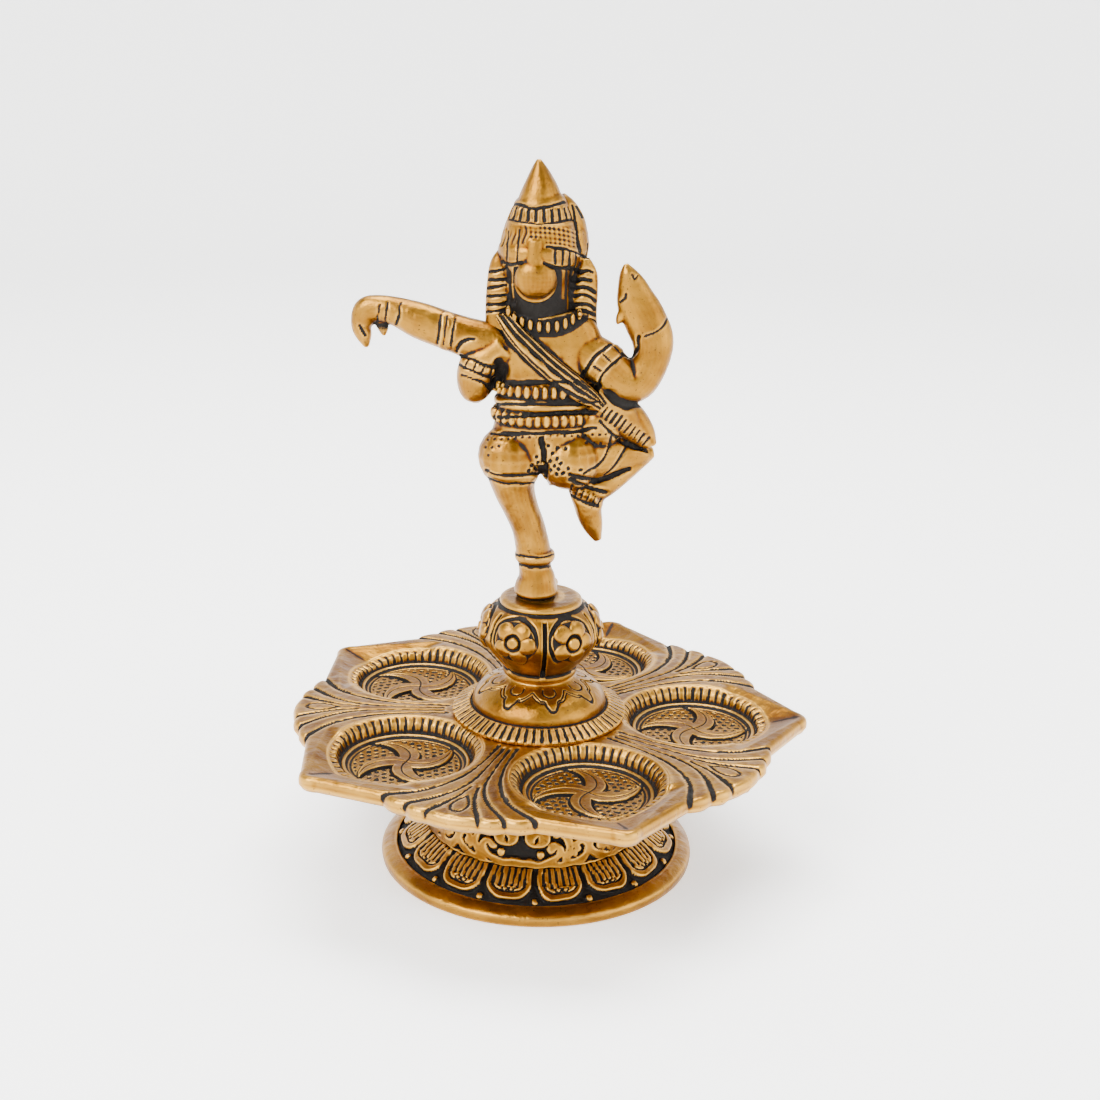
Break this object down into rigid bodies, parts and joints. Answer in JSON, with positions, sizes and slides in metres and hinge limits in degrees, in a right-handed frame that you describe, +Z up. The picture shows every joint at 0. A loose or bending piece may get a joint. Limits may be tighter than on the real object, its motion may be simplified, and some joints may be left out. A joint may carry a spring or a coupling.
{
  "type": "five-wick oil lamp",
  "caption": "Cast antique-gold oil lamp: a pointed star plate with round wick cups on a lotus foot, and a dancing elephant-headed figure on a dome and a lotus bud.",
  "frame": {"origin": "on the floor, at the middle of the plate's span; the stem's axis is 3 mm towards -X from it", "axes": "+Z up, +X towards the first pointed spout, +Y towards where the figure faces"},
  "size_m": [0.1339, 0.1332, 0.181],
  "materials": {
    "antique_gold": "gold-lacquered sand casting with black antique patina in the recesses and polished highs",
    "zinc_steel": "bright zinc plate"
  },
  "bodies": {
    "root": {"base_foot": "antique_gold", "five_cup_plate": "antique_gold", "dome_collar": "antique_gold", "lotus_bud": "antique_gold", "dancing_figure": "antique_gold", "tie_rod": "zinc_steel", "flat_washer": "zinc_steel", "spring_washer": "zinc_steel", "hex_nut": "zinc_steel"}
  },
  "joints": []
}
